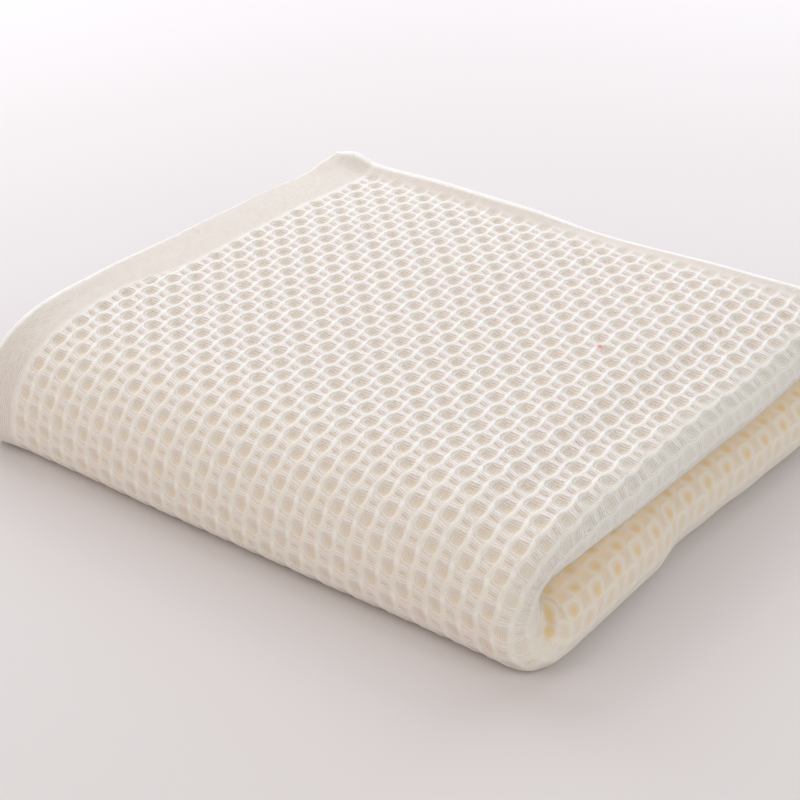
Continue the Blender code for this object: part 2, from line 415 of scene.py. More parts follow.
@dataclass(frozen=True)
class Weave:
    """The relief of the honeycomb, its plain hems and its selvedges.

    A main hollow is ringed by threads and has a cord along each side. Two
    bundles of cross threads with a small pit between them part it from the next.
    The lower bundle slants, and bundles of neighbours meet in knots on the cords.
    """

    sway: float = 0.077
    sway_point: float = 0.1
    slant: float = 0.29
    cord_half: float = 0.105
    cord_level: float = 0.9
    knot_half_width: float = 0.17
    knot_half_length: float = 0.3
    knot_row: float = 0.57
    depth: float = 1.5 * MM
    calm_rows: Pair = (4.0, -7.0)
    calm_share: float = 0.45
    side_columns: Pair = (10.0, 12.0)
    lower_rows: Pair = (-4.0, -8.0)
    upper_side_calm: float = 0.5
    lower_side_calm: float = 0.4
    hollow_half_width: float = 0.5
    hollow_half_length: float = 0.55
    corner: float = 3.0
    floor_share: float = 0.2
    bundle_level: float = 0.85
    pit_half_width: float = 0.43
    pit_half_length: float = 0.2
    pit_corner: float = 3.0
    pit_rim: float = 1.15
    pit_depth: float = 0.42
    plain_level: float = 0.8
    first_cord: float = -23.5
    last_cord: float = 126.5
    first_row: float = -41.0
    last_row: float = 27.3
    fade: float = 0.45
    back_fade: float = 1.6

    # The hem is a column wider at the back than at the front
    hem_wide_rows: Pair = (4.0, 11.0)
    hem_ridge: float = 0.08
    hem_ridge_half: float = 0.2
    hem_ridge_back: float = 0.1

    # The smooth lip of the side folds, which ends sooner on the lower one
    lip_start: float = 12.55
    upper_lip_end: float = 14.7
    lower_lip_end: float = 13.15
    lip_rows: Pair = (-5.0, -6.6)
    lip_level: float = 0.86
    lip_share: float = 0.6
    lip_fade: float = 0.3

    # The web at the front end of the crevice between the side folds
    web_place: Pair = (14.0, -8.3)
    web_reach: Pair = (1.2, 1.4)
    web_depth: float = 1.4 * MM

    def hem_border(self, row: Array) -> Array:
        """Return the column at which the hem ends."""
        first, last = self.hem_wide_rows
        return self.first_cord + soft_step((row - first) / (last - first))

    def honeycomb(self, column: Array, row: Array) -> Array:
        """Return 1 in the honeycomb and 0 in the hems and selvedges."""
        inside = soft_step((column - self.hem_border(row) + self.fade / 2) / self.fade)
        inside = inside * soft_step((self.last_cord + self.fade / 2 - column) / self.fade)
        inside = inside * soft_step((row - self.first_row + self.fade) / self.fade)
        return inside * soft_step((self.last_row + self.back_fade - row) / self.back_fade)

    def swayed(self, column: Array, row: Array) -> Array:
        """Return the column after the cords' swing from side to side."""
        swing = np.cos(np.pi * row) + self.sway_point * np.cos(3 * np.pi * row)
        swing = swing * self.sway * np.sin(np.pi * column)
        return column + swing * self.honeycomb(column, row)

    def cell_place(self, column: Array, row: Array) -> tuple[Array, Array]:
        """Return the distances from a main hollow's middle, in cells."""
        nearest = np.round(column)
        aside = column - nearest
        slanting = 0.5 - 0.5 * np.sin(np.pi * (row - nearest))
        row = row + self.slant * slanting * aside
        half = (row - np.mod(nearest, 2.0)) / 2.0
        return np.abs(aside), np.abs(half - np.round(half)) * 2.0

    def knot(self, column: Array, row: Array) -> Array:
        """Return 1 where two bundles meet on a cord and 0 away from there."""
        before = np.floor(column)
        half = (row - before - self.knot_row) / 2.0
        along = np.abs(half - np.round(half)) * 2.0 / self.knot_half_length
        across = (column - before - 0.5) / self.knot_half_width
        return soft_step(1.0 - np.sqrt(across**2 + along**2))

    def lip(self, column: Array, row: Array) -> Array:
        """Return 1 on the smooth lips of the side folds and 0 elsewhere."""
        first, last = self.lip_rows
        lower = soft_step((first - row) / (first - last))
        end = self.upper_lip_end + (self.lower_lip_end - self.upper_lip_end) * lower
        started = soft_step((column - self.lip_start) / self.lip_fade + 0.5)
        return started * soft_step((end - column) / self.lip_fade + 0.5)

    def web(self, column: Array, row: Array) -> Array:
        """Return 1 at the bottom of the crevice's web and 0 outside it."""
        across = (column - self.web_place[0]) / self.web_reach[0]
        along = (row - self.web_place[1]) / self.web_reach[1]
        return soft_step(1.0 - np.sqrt(across**2 + along**2))

    def level(self, column: Array, row: Array) -> Array:
        """Return the height of the cloth's face, 0 in a hollow and 1 on a knot."""
        from_line, from_hollow = self.cell_place(column, row)
        ridge = np.clip((0.5 - from_line) / self.cord_half, 0.0, 1.0)
        ridge = np.cos(np.pi / 2 * ridge) ** 2
        ring = (from_line / self.hollow_half_width) ** self.corner
        ring = ring + (from_hollow / self.hollow_half_length) ** self.corner
        ring = ring ** (1.0 / self.corner)
        pit = (from_line / self.pit_half_width) ** self.pit_corner
        pit = pit + ((1.0 - from_hollow) / self.pit_half_length) ** self.pit_corner
        pit = soft_step(self.pit_rim - pit ** (1.0 / self.pit_corner))
        slope = soft_step((ring - self.floor_share) / (1.0 - self.floor_share))
        floor = self.bundle_level * slope - self.pit_depth * pit
        woven = floor + (self.cord_level - floor) * ridge
        woven = woven + (1.0 - woven) * self.knot(column, row)
        woven = woven + (self.lip_level - woven) * self.lip(column, row) * self.lip_share
        border = (column - self.hem_border(row) + self.hem_ridge_back) / self.hem_ridge_half
        plain = self.plain_level + self.hem_ridge * np.exp(-(border**2))
        inside = self.honeycomb(column, row)
        return plain + (woven - plain) * inside

    def sunk(self, column: Array, row: Array) -> Array:
        """Return how deep the cloth's face lies under its knots' tops.

        The hollows are shallower on the front fold, where the cloth is drawn tight.
        """
        first, last = self.calm_rows
        calm = self.calm_share * soft_step((first - row) / (first - last))
        first, last = self.lower_rows
        lower = soft_step((first - row) / (first - last))
        first, last = self.side_columns
        side = soft_step((column - first) / (last - first))
        level = self.upper_side_calm + (self.lower_side_calm - self.upper_side_calm) * lower
        calm = calm + side * level
        return self.depth * (1.0 - calm) * (1.0 - self.level(column, row))


@dataclass
class ClothPanel:
    """One part of the cloth, as a closed sheet with a fine face and a plain back."""

    name: str
    columns: Array
    rows: Array
    back_columns: Array
    back_rows: Array
    shape: FoldedShape
    weave: Weave
    back_offset: float = 1.6 * MM
    inside_offset: float = 1.6 * MM
    least_stretch: float = 0.3
    sharp_angle: float = math.radians(65.0)

    def _edge_share(self, column: Array, row: Array) -> Array:
        """Return how full the cloth is near its rounded edges, from 0 to 1."""
        ends = self.shape.course
        from_end = np.minimum(column - ends["hem"], ends["second run"] - column)
        from_side = np.minimum(row - self.shape.first_row, self.shape.last_row - row)
        near = np.minimum(from_end, from_side) * self.shape.cell
        near = np.clip(near / (self.shape.thickness / 2), 0.0, 1.0)
        return np.sqrt(1.0 - (1.0 - near) ** 2)

    def _surface(self, columns: Array, rows: Array, side: Side) -> Array:
        """Return the points of one face of the cloth over a grid."""
        column, row = np.meshgrid(columns, rows)
        swayed = self.weave.swayed(column, row) if side is Side.FACE else column
        middle = self.shape.place(swayed, row)
        normal, stretch = self.shape.directions(swayed, row)
        full = self._edge_share(column, row)
        web = self.weave.web_depth * self.weave.web(column, row)
        middle = middle - normal * web[..., None]
        if side is Side.BACK:
            return middle - normal * (self.back_offset * full)[..., None]
        sunk = self.weave.sunk(column, row) * np.clip(stretch, self.least_stretch, 1.0)
        outside = column < self.shape.course["left nose"]
        top = np.where(outside, self.shape.thickness / 2, self.inside_offset)
        return middle + normal * ((top - sunk) * full)[..., None]

    @staticmethod
    def _quads(grid: Array) -> Array:
        """Return the faces of a grid of vertex numbers, anticlockwise."""
        corners = [grid[:-1, :-1], grid[:-1, 1:], grid[1:, 1:], grid[1:, :-1]]
        return np.stack(corners, -1).reshape(-1, 4)

    @staticmethod
    def _places(columns: Array, rows: Array) -> Array:
        """Return the column and row of each point of a grid."""
        return np.stack(np.meshgrid(columns, rows), -1).reshape(-1, 2)

    @staticmethod
    def _loop(count_rows: int, count_columns: int) -> list[list[tuple[int, int]]]:
        """Return the four sides of a grid's border, anticlockwise."""
        last_row, last_column = count_rows - 1, count_columns - 1
        return [
            [(0, c) for c in range(count_columns)],
            [(r, last_column) for r in range(count_rows)],
            [(last_row, c) for c in range(last_column, -1, -1)],
            [(r, 0) for r in range(last_row, -1, -1)],
        ]

    def _bridge(
        self, fine: list[int], coarse: list[int], fine_at: Array, coarse_at: Array
    ) -> list[tuple[int, ...]]:
        """Join a fine row of points to a coarse one with triangles.

        Args:
            fine: Vertex numbers of the fine row.
            coarse: Vertex numbers of the coarse row.
            fine_at: Places of the fine points, from 0 to 1.
            coarse_at: Places of the coarse points, from 0 to 1.

        Returns:
            The triangles.
        """
        faces = []
        a = b = 0
        while a < len(fine) - 1 or b < len(coarse) - 1:
            next_a = fine_at[a + 1] if a < len(fine) - 1 else PAST_END
            next_b = coarse_at[b + 1] if b < len(coarse) - 1 else PAST_END
            if next_a <= next_b:
                faces.append((fine[a], coarse[b], fine[a + 1]))
                a += 1
            else:
                faces.append((fine[a], coarse[b], coarse[b + 1]))
                b += 1
        return faces

    @staticmethod
    def _spread(values: Array) -> Array:
        """Return places scaled to run from 0 to 1."""
        return (values - values[0]) / (values[-1] - values[0])

    def build(self) -> bpy.types.Object:
        """Make the panel's mesh and return its object."""
        face = self._surface(self.columns, self.rows, Side.FACE)
        edge = self._surface(self.columns, self.rows, Side.BACK)
        back = self._surface(self.back_columns, self.back_rows, Side.BACK)
        n_rows, n_columns = face.shape[:2]
        grid = np.arange(n_rows * n_columns).reshape(n_rows, n_columns)
        points = [face.reshape(-1, 3)]
        at = [self._places(self.columns, self.rows)]
        faces = self._quads(grid).tolist()
        loop = self._loop(n_rows, n_columns)
        border = {}
        added = []
        added_at = []
        for side in loop:
            for r, c in side:
                if (r, c) in border:
                    continue
                if np.linalg.norm(face[r, c] - edge[r, c]) < SAME_PLACE:
                    border[r, c] = int(grid[r, c])
                else:
                    border[r, c] = n_rows * n_columns + len(added)
                    added.append(edge[r, c])
                    added_at.append((self.columns[c], self.rows[r]))
        start = n_rows * n_columns + len(added)
        if added:
            points.append(np.array(added))
            at.append(np.array(added_at))
        points.append(back.reshape(-1, 3))
        at.append(self._places(self.back_columns, self.back_rows))
        b_rows, b_columns = back.shape[:2]
        inner = start + np.arange(b_rows * b_columns).reshape(b_rows, b_columns)
        # The back faces the other way
        faces += self._quads(inner)[:, [0, 3, 2, 1]].tolist()
        inner_loop = self._loop(b_rows, b_columns)
        spreads = [self._spread(self.columns), self._spread(self.rows)]
        inner_spreads = [self._spread(self.back_columns), self._spread(self.back_rows)]
        for number, (side, inner_side) in enumerate(zip(loop, inner_loop)):
            for here, there in zip(side, side[1:]):
                a, b = int(grid[here]), int(grid[there])
                corner = [a, border[here], border[there], b]
                kept = list(dict.fromkeys(corner))
                if len(kept) > 2:
                    faces.append(tuple(kept))
            fine_at = spreads[number % 2]
            coarse_at = inner_spreads[number % 2]
            if number > 1:
                fine_at = 1.0 - fine_at[::-1]
                coarse_at = 1.0 - coarse_at[::-1]
            fine = [border[spot] for spot in side]
            coarse = [int(inner[spot]) for spot in inner_side]
            faces += self._bridge(fine, coarse, fine_at, coarse_at)
        return self._to_object(np.concatenate(points), faces, np.concatenate(at))

    def _to_object(self, points: Array, faces: list, at: Array) -> bpy.types.Object:
        """Return a smooth mesh object with its places on the cloth as UV map."""
        mesh = bpy.data.meshes.new(self.name)
        mesh.from_pydata(points, [], faces)
        mesh.validate()
        mesh.shade_smooth()
        mesh.set_sharp_from_angle(angle=self.sharp_angle)
        places = mesh.uv_layers.new(name="weave")
        corners = np.zeros(len(mesh.loops), np.int32)
        mesh.loops.foreach_get("vertex_index", corners)
        places.data.foreach_set("uv", at[corners].astype(np.float32).ravel())
        item = bpy.data.objects.new(self.name, mesh)
        bpy.context.scene.collection.objects.link(item)
        return item


@dataclass
class HandTowel:
    """The folded towel: one cloth, made in panels that meet edge to edge."""

    shape: FoldedShape
    weave: Weave

    # Steps in each cell, on the fine faces and on hidden or underside ones
    detail: int = 10
    plain_detail: int = 4

    # Columns and rows at which the panels meet
    middle_seam: float = -6.5
    top_seam: float = 10.5
    crevice_depth: float = 23.5
    front_seam: float = -9.5

    # Steps in from a cloth edge that show its round, and steps round the cords
    edge_steps: Numbers = (0.0, 0.02, 0.07, 0.15, 0.25)
    cord_steps: Numbers = (0.0, 0.05, 0.1, 0.15, 0.28, 0.5, 0.72, 0.85, 0.9, 0.95)

    # The hem's first column past its round edge, and its columns' distance
    hem_start: float = -25.5
    hem_step: float = 0.25

    # The first and last row between the round edges of the selvedges
    even_rows: Pair = (-41.5, 29.0)

    # Inside, a run has wide columns, and a nose has close ones that start
    # before it and stop after it
    run_step: float = 2.0
    run_gap: float = 3.0
    nose_step: float = 0.2
    nose_lead: float = 5.0
    nose_margin: float = 2.0
    inner_nose_count: int = 41
    second_hem: Pair = (2.6, 0.4)
    second_hem_count: int = 9

    # The plain back starts this many steps in and keeps one row in so many
    border_steps: int = 4
    back_thinning: int = 8

    def _fine(self, start: float, stop: float, steps: int) -> Array:
        """Return columns or rows with the same steps in each cell, both ends in."""
        count = round((stop - start) * steps)
        return np.linspace(start, stop, count + 1)

    def _cords(self, start: float, stop: float) -> Array:
        """Return columns that lie closer together near the cords."""
        cords = np.arange(start, stop - 0.5)
        return np.append((cords[:, None] + np.array(self.cord_steps)).ravel(), stop)

    def _inside_columns(self) -> Array:
        """Return the columns of the inner layers, from the crevice to the second hem."""
        ends = self.shape.course
        nose, inner_nose = ends["left nose"], ends["inner nose"]
        third_run, hem = ends["third run"], ends["second run"]
        nose_start = nose - self.nose_lead
        nose_stop = nose + self.nose_margin
        hem_start, hem_stop = self.second_hem
        return np.concatenate(
            [
                np.arange(self.crevice_depth, nose_start, self.run_step),
                np.arange(nose_start, nose_stop, self.nose_step),
                np.arange(nose_stop, third_run - self.run_gap, self.run_step),
                np.linspace(
                    third_run - self.nose_margin,
                    inner_nose + self.nose_margin,
                    self.inner_nose_count,
                ),
                np.arange(inner_nose + self.run_gap, hem - self.run_gap, self.run_step),
                np.linspace(hem - hem_start, hem - hem_stop, self.second_hem_count),
                hem - np.array(self.edge_steps)[::-1],
            ]
        )

    def _panel_grids(self) -> list[tuple[str, Array, Array]]:
        """Return the name, the columns and the rows of each panel."""
        shape = self.shape
        first_cord = self.weave.first_cord
        edge = np.array(self.edge_steps)
        start, stop = self.even_rows
        first = shape.first_row + edge
        last = shape.last_row - edge[::-1]
        hem = np.arange(self.hem_start, first_cord, self.hem_step)
        hem = np.append(shape.course["hem"] + edge, hem)
        left_columns = np.concatenate([hem, self._cords(first_cord, self.middle_seam)])
        right_columns = self._cords(self.middle_seam, self.top_seam)
        side_columns = self._cords(self.top_seam, self.crevice_depth)
        low_columns = self._fine(first_cord, self.top_seam, self.plain_detail)
        low_columns = np.concatenate([hem, low_columns])
        top_rows = np.append(self._fine(self.front_seam, stop, self.detail), last)
        all_rows = np.concatenate([first, self._fine(start, stop, self.detail), last])
        low_rows = self._fine(start, self.front_seam, self.plain_detail)
        low_rows = np.concatenate([first, low_rows])
        inside_rows = self._fine(start, stop, self.plain_detail)
        inside_rows = np.concatenate([first, inside_rows, last])
        return [
            ("towel_top_left", left_columns, top_rows),
            ("towel_top_right", right_columns, top_rows),
            ("towel_side", side_columns, all_rows),
            ("towel_underside", low_columns, low_rows),
            ("towel_inside", self._inside_columns(), inside_rows),
        ]

    def build(self) -> list[bpy.types.Object]:
        """Build every panel and return their objects."""
        shape = self.shape
        made = []
        for name, columns, rows in self._panel_grids():
            thinning = 1 if name == "towel_inside" else self.back_thinning
            panel = ClothPanel(
                name,
                columns,
                rows,
                self._plain(columns, thinning),
                self._plain(rows, self.back_thinning),
                shape,
                self.weave,
            )
            item = panel.build()
            flat = [(line[-1] - line[0]) * shape.cell for line in (rows, columns)]
            made.append(item)
            LOG.info("%s: %d faces", name, len(item.data.polygons))
        return made

    def _plain(self, values: Array, step: int) -> Array:
        """Return the inner values of a fine row, thinned for the plain back."""
        inner = values[self.border_steps : -self.border_steps]
        chosen = inner[::step]
        return np.append(chosen, inner[-1]) if chosen[-1] != inner[-1] else chosen


class Field:
    """A number that shader nodes work out, which can be reckoned with like one."""

    def __init__(self, socket: bpy.types.NodeSocket) -> None:
        """Hold the node's output.

        Args:
            socket: The output that gives the number.
        """
        self.socket = socket

    def _node(self, kind: str, **settings: object) -> bpy.types.Node:
        """Add a node with its settings to this one's tree."""
        node = self.socket.id_data.nodes.new(kind)
        for name, value in settings.items():
            setattr(node, name, value)
        return node

    def feed(self, value: object, socket: bpy.types.NodeSocket) -> None:
        """Feed a socket from a field, or give it a plain value."""
        if isinstance(value, Field):
            self.socket.id_data.links.new(value.socket, socket)
        else:
            socket.default_value = value

    def _math(self, operation: str, *values: object) -> "Field":
        """Return what a sum or function of numbers and fields gives."""
        node = self._node("ShaderNodeMath", operation=operation)
        for value, socket in zip(values, node.inputs):
            self.feed(value, socket)
        return Field(node.outputs[0])

    def __add__(self, other: object) -> "Field":
        """Return the sum."""
        return self._math("ADD", self, other)

    def __sub__(self, other: object) -> "Field":
        """Return the difference."""
        return self._math("SUBTRACT", self, other)

    def __rsub__(self, other: float) -> "Field":
        """Return a plain number less this one."""
        return self._math("SUBTRACT", other, self)

    def __mul__(self, other: object) -> "Field":
        """Return the product."""
        return self._math("MULTIPLY", self, other)

    def __truediv__(self, other: object) -> "Field":
        """Return the quotient."""
        return self._math("DIVIDE", self, other)

    def __pow__(self, other: float) -> "Field":
        """Return the power."""
        return self._math("POWER", self, other)

    def __abs__(self) -> "Field":
        """Return the size without its sign."""
        return self._math("ABSOLUTE", self)

    def round(self) -> "Field":
        """Return the nearest whole number."""
        return self._math("ROUND", self)

    def rest(self, divisor: float) -> "Field":
        """Return what is left after division."""
        return self._math("FLOORED_MODULO", self, divisor)

    def wave(self, length: float) -> "Field":
        """Return a cosine with a given wavelength."""
        return self._math("COSINE", self * (2 * math.pi / length))

    def most(self, other: "Field") -> "Field":
        """Return the larger of two."""
        return self._math("MAXIMUM", self, other)

    def step(self, low: float, high: float) -> "Field":
        """Return 0 at low and 1 at high, smooth between."""
        node = self._node("ShaderNodeMapRange", interpolation_type="SMOOTHSTEP")
        self.feed(self, node.inputs["Value"])
        node.inputs["From Min"].default_value = low
        node.inputs["From Max"].default_value = high
        return Field(node.outputs["Result"])

    def between(self, first: object, second: object) -> "Field":
        """Return a mix of two numbers, with this one as the second's share."""
        node = self._node("ShaderNodeMix", data_type="FLOAT")
        self.feed(self, node.inputs["Factor"])
        self.feed(first, node.inputs["A"])
        self.feed(second, node.inputs["B"])
        return Field(node.outputs["Result"])

    def colour(self, first: object, second: object) -> "Field":
        """Return a mix of two colours, with this one as the second's share."""
        node = self._node("ShaderNodeMix", data_type="RGBA")
        self.feed(self, node.inputs["Factor"])
        # The node's colours come after its numbers and vectors
        self.feed(first, node.inputs[6])
        self.feed(second, node.inputs[7])
        return Field(node.outputs[2])

    def scaling(self, colour: "Field") -> "Field":
        """Return a colour times this number."""
        node = self._node("ShaderNodeVectorMath", operation="SCALE")
        self.feed(colour, node.inputs[0])
        self.feed(self, node.inputs["Scale"])
        return Field(node.outputs[0])

    def noise(self, other: "Field", scale: float, detail: float = 2.0) -> "Field":
        """Return cloudy noise over two numbers, from about 0 to 1."""
        spot = self._node("ShaderNodeCombineXYZ")
        self.feed(self, spot.inputs[0])
        self.feed(other, spot.inputs[1])
        node = self._node("ShaderNodeTexNoise")
        self.feed(Field(spot.outputs[0]), node.inputs["Vector"])
        node.inputs["Scale"].default_value = scale
        node.inputs["Detail"].default_value = detail
        return Field(node.outputs["Fac"])


@dataclass(frozen=True)
class Spot:
    """A place on the cloth and in its cell of the weave, as the shader sees it.

    The column and row wander a little from the true ones. The ring and the pit
    are 1 at the rim of the main hollow and of the small one.
    """

    true_column: Field
    true_row: Field
    column: Field
    row: Field
    aside: Field
    above: Field
    from_line: Field
    from_hollow: Field
    ring: Field
    pit: Field
    knot: Field


@dataclass(frozen=True)
class Zones:
    """How much a place belongs to each part of the cloth, from 0 to 1.

    Calm is the front fold, calmer all that gets the even colour of painted soft shade, and the
    border is the distance in columns from the hem's border instead of a share.
    """

    calm: Field
    calmer: Field
    side: Field
    lower: Field
    lip: Field
    crevice: Field
    cord: Field
    outside: Field
    border: Field
    honeycomb: Field


@dataclass(frozen=True)
class CottonFinish:
    """Undyed cotton: white cords and fine threads, with painted warm shade in the hollows, on the
    front fold and in the crevice, a painted glow there and painted highlights on the edges.
    """

    weave: Weave
    shape: FoldedShape
    knot: Numbers = (0.98, 0.98, 0.96, 1.0)
    cord: Numbers = (0.94, 0.925, 0.90, 1.0)
    # The front fold's colours are painted shade: darker, warmer copies of the top's colours, as
    # that fold faces away from the light
    shaded_front_cord: Numbers = (0.87, 0.86, 0.795, 1.0)
    front_cord_more: float = 0.09
    thread: Numbers = (0.89, 0.85, 0.825, 1.0)
    # Sage and blush paint the shade on the hollows' walls and also tint faint clouds; the hollow
    # and pit colours are painted warm shade in the recesses
    sage: Numbers = (0.82, 0.825, 0.745, 1.0)
    blush: Numbers = (0.82, 0.755, 0.70, 1.0)
    shaded_hollow: Numbers = (0.79, 0.72, 0.635, 1.0)
    shaded_front_hollow: Numbers = (0.73, 0.62, 0.43, 1.0)
    pit: Numbers = (0.78, 0.70, 0.63, 1.0)
    shaded_front_pit: Numbers = (0.80, 0.71, 0.56, 1.0)
    # Amber, tan and straw are painted warm shade in the crevice, and cream is its painted bounce
    # light
    amber_shade: Numbers = (0.83, 0.64, 0.37, 1.0)
    tan: Numbers = (0.88, 0.755, 0.58, 1.0)
    straw: Numbers = (0.80, 0.70, 0.56, 1.0)
    cream: Numbers = (0.845, 0.785, 0.69, 1.0)
    # Painted glow: a weak warm emission in the crevice that stands in for light shining through
    # the cotton
    painted_glow: Numbers = (1.0, 0.66, 0.36, 1.0)
    painted_glow_strength: float = 0.10
    lip: Numbers = (0.84, 0.84, 0.785, 1.0)
    # An even colour of painted soft shade, laid over the front fold and the lower nose
    even_shade: Numbers = (0.85, 0.79, 0.705, 1.0)
    plain: Numbers = (0.78, 0.735, 0.68, 1.0)
    # The colour of the painted highlight along the rounded edges of the hems and selvedges
    rim: Numbers = (0.98, 0.98, 0.96, 1.0)
    speck: Numbers = (0.93, 0.38, 0.40, 1.0)
    speck_place: Pair = (3.55, 16.2)

    # Columns, rows and reaches of the patches of painted warm shade at the crevice's front end
    web_patch: Numbers = (14.3, -8.3, 1.7, 1.6)
    painted_shade_patches: tuple[Numbers, ...] = (
        (14.75, -8.65, 0.8, 0.7),
        (13.7, -8.85, 0.6, 0.55),
    )

    # Where no comment says otherwise, a pair gives the places where a mask is 0
    # and where it is 1. A share says how strong a full mask is.
    knot_edge: Pair = (1.1, 0.5)
    cord_edge: Pair = (0.39, 0.44)
    ring_edge: Pair = (0.95, 1.05)
    crevice_start: Pair = (13.0, 15.2)
    crevice_end: Pair = (19.5, 17.5)
    crevice_rows: Pair = (-6.0, -9.0)
    patch_edge: Pair = (1.0, 0.3)
    border_edge: Pair = (-0.25, 0.2)
    # Shares of the even colour of painted soft shade on the front fold and on the lower nose
    calm_even_shade: float = 0.5
    side_even_shade: float = 0.65

    # Painted warm shade in the hollows and pits, paler on the noses
    nose_start: Pair = (11.3, 11.7)
    pale_rows: Pair = (-9.0, -7.0)
    pale_share: float = 0.7
    low_pale_columns: Pair = (15.0, 13.0)
    low_pale_rows: Pair = (-8.0, -11.0)
    low_pale_share: float = 0.6
    core_aside: float = 0.07
    core_corner: float = 2.5
    core_edge: Pair = (0.8, 0.3)
    front_core_edge: Pair = (0.75, 0.1)
    pit_edge: Pair = (1.1, 0.6)
    pit_share: float = 0.85
    wall_edge: Pair = (0.38, 0.25)

    # Faint pink and green clouds
    mottle: float = 0.35
    blush_cloud: float = 7.0
    blush_edge: Pair = (0.45, 0.75)
    sage_cloud: float = 6.0
    sage_edge: Pair = (0.5, 0.75)
    sage_ring: Pair = (1.3, 0.9)

    # The pale rim of a hollow, and the lips and noses
    rim_inner: Pair = (0.93, 1.03)
    rim_outer: Pair = (1.3, 1.17)
    rim_share: float = 0.8
    calm_rim_loss: float = 0.5
    lip_share: float = 0.7
    upper_share: float = 0.6

    # The crevice's painted warm shade, painted bounce light and painted glow
    tan_columns: Pair = (15.0, 16.6)
    body_edge: Pair = (1.5, 1.0)
    crevice_shade_share: float = 0.95
    amber_aside: float = 0.1
    amber_edge: Pair = (1.05, 0.0)
    painted_glow_columns: Pair = (14.8, 16.6)

    # The speck, the hem's border and the white rims, which are painted highlights
    speck_edge: Pair = (0.24, 0.05)
    border_line: Pair = (0.3, 0.1)
    border_share: float = 0.35
    hem_highlight_rows: Pair = (2.0, 20.0)
    # The painted highlight's width in columns at the front and at the back
    hem_highlight: Pair = (0.35, 0.2)
    hem_highlight_edge: Pair = (0.15, -0.15)
    outer_highlight: float = 0.5
    full_highlight: float = 0.25

    # Threads: rings and rungs in a hollow, strands on its floor, cross threads
    # in the bundles, twist on the cords, ribs on the hem
    ring_count: float = 3.0
    rings_edge: Pair = (0.3, 0.7)
    rung: float = 0.13
    rung_start: Pair = (0.12, 0.25)
    rung_edge: Pair = (0.36, 0.25)
    strand: float = 0.11
    strand_edge: Pair = (0.6, 0.4)
    strand_share: float = 0.7
    cross_start: float = 0.05
    cross_thread: float = 0.15
    # How often the twist turns along and across the cloth
    twist: Pair = (4.0, 7.0)
    twist_share: float = 0.3
    broken_cloud: float = 5.0
    broken_edge: Pair = (0.25, 0.75)
    broken_share: float = 0.8
    broken_least: float = 0.4
    hem_rib: float = 0.15
    slub_cloud: float = 2.2
    slub_edge: Pair = (0.3, 0.7)
    # How fine the clouds in the ribs are along and across the cloth
    slub_draw: Pair = (3.0, 0.8)
    rib_draw: Pair = (0.8, 4.0)
    rib_share: float = 0.8
    lip_loss: float = 0.4
    even_loss: float = 0.8
    # What the threads lose all over the crevice, and what more outside hollows
    crevice_loss: Pair = (0.5, 0.45)
    crevice_ring: Pair = (0.6, 0.9)
    thread_contrast: float = 0.16
    thread_height: float = 0.09 * MM
    fuzz_cloud: float = 14.0
    fuzz_detail: float = 3.0

    wander: float = 0.10
    # The clouds that move the columns and the rows
    wander_clouds: Pair = (2.6, 3.7)
    roughness: float = 0.95
    specular: float = 0.12
    sheen: float = 0.2
    sheen_roughness: float = 0.5

    @staticmethod
    def _reach(first: Field, second: Field, power: float) -> Field:
        """Return how far a place is from the middle of a rounded rectangle."""
        return (first**power + second**power) ** (1.0 / power)

    def _hollow_reach(self, aside: Field, from_hollow: Field, power: float) -> Field:
        """Return how far a place is from a main hollow's middle, 1 at its rim."""
        weave = self.weave
        return self._reach(
            aside / weave.hollow_half_width, from_hollow / weave.hollow_half_length, power
        )

    def _lip(self, column: Field, row: Field) -> Field:
        """Return 1 on the smooth lips of the side folds."""
        weave = self.weave
        half = weave.lip_fade / 2
        lower = row.step(*weave.lip_rows)
        end = lower.between(weave.upper_lip_end, weave.lower_lip_end)
        started = column.step(weave.lip_start - half, weave.lip_start + half)
        return started * (end - column).step(-half, half)

    def _crevice(self, column: Field, row: Field) -> Field:
        """Return 1 deep in the crevice between the side folds."""
        deep = column.step(*self.crevice_start) * column.step(*self.crevice_end)
        deep = deep * row.step(*self.crevice_rows)
        return deep.most(self._patch(column, row, self.web_patch))

    def _patch(self, column: Field, row: Field, patch: Numbers) -> Field:
        """Return 1 in the middle of a round patch, given by its place and reach."""
        across = (column - patch[0]) / patch[2]
        along = (row - patch[1]) / patch[3]
        return self._reach(abs(across), abs(along), ELLIPSE).step(*self.patch_edge)

    def _spot(self, tree: bpy.types.NodeTree) -> Spot:
        """Return the shader's place on the cloth, from the panels' UV map."""
        places = tree.nodes.new("ShaderNodeUVMap")
        places.uv_map = "weave"
        split = tree.nodes.new("ShaderNodeSeparateXYZ")
        tree.links.new(places.outputs[0], split.inputs[0])
        true_column, true_row = Field(split.outputs[0]), Field(split.outputs[1])
        weave = self.weave
        across, along = self.wander_clouds
        column = true_column + (true_column.noise(true_row, across) - 0.5) * self.wander
        row = true_row + (true_row.noise(true_column, along) - 0.5) * self.wander
        nearest = column.round()
        aside = column - nearest
        slanting = 0.5 - (row - nearest - 0.5).wave(2.0) * 0.5
        slanted = row + aside * slanting * weave.slant
        half = (slanted - nearest.rest(2.0)) * 0.5
        above = (half - half.round()) * 2.0
        from_line = abs(aside)
        from_hollow = abs(above)
        pit = self._reach(
            from_line / weave.pit_half_width,
            (1.0 - from_hollow) / weave.pit_half_length,
            weave.pit_corner,
        )
        before = (column - 0.5).round()
        knot_half = (row - before - weave.knot_row) * 0.5
        knot = self._reach(
            abs(column - before - 0.5) / weave.knot_half_width,
            abs(knot_half - knot_half.round()) * (2.0 / weave.knot_half_length),
            ELLIPSE,
        )
        return Spot(
            true_column=true_column,
            true_row=true_row,
            column=column,
            row=row,
            aside=aside,
            above=above,
            from_line=from_line,
            from_hollow=from_hollow,
            ring=self._hollow_reach(from_line, from_hollow, weave.corner),
            pit=pit,
            knot=knot.step(*self.knot_edge),
        )

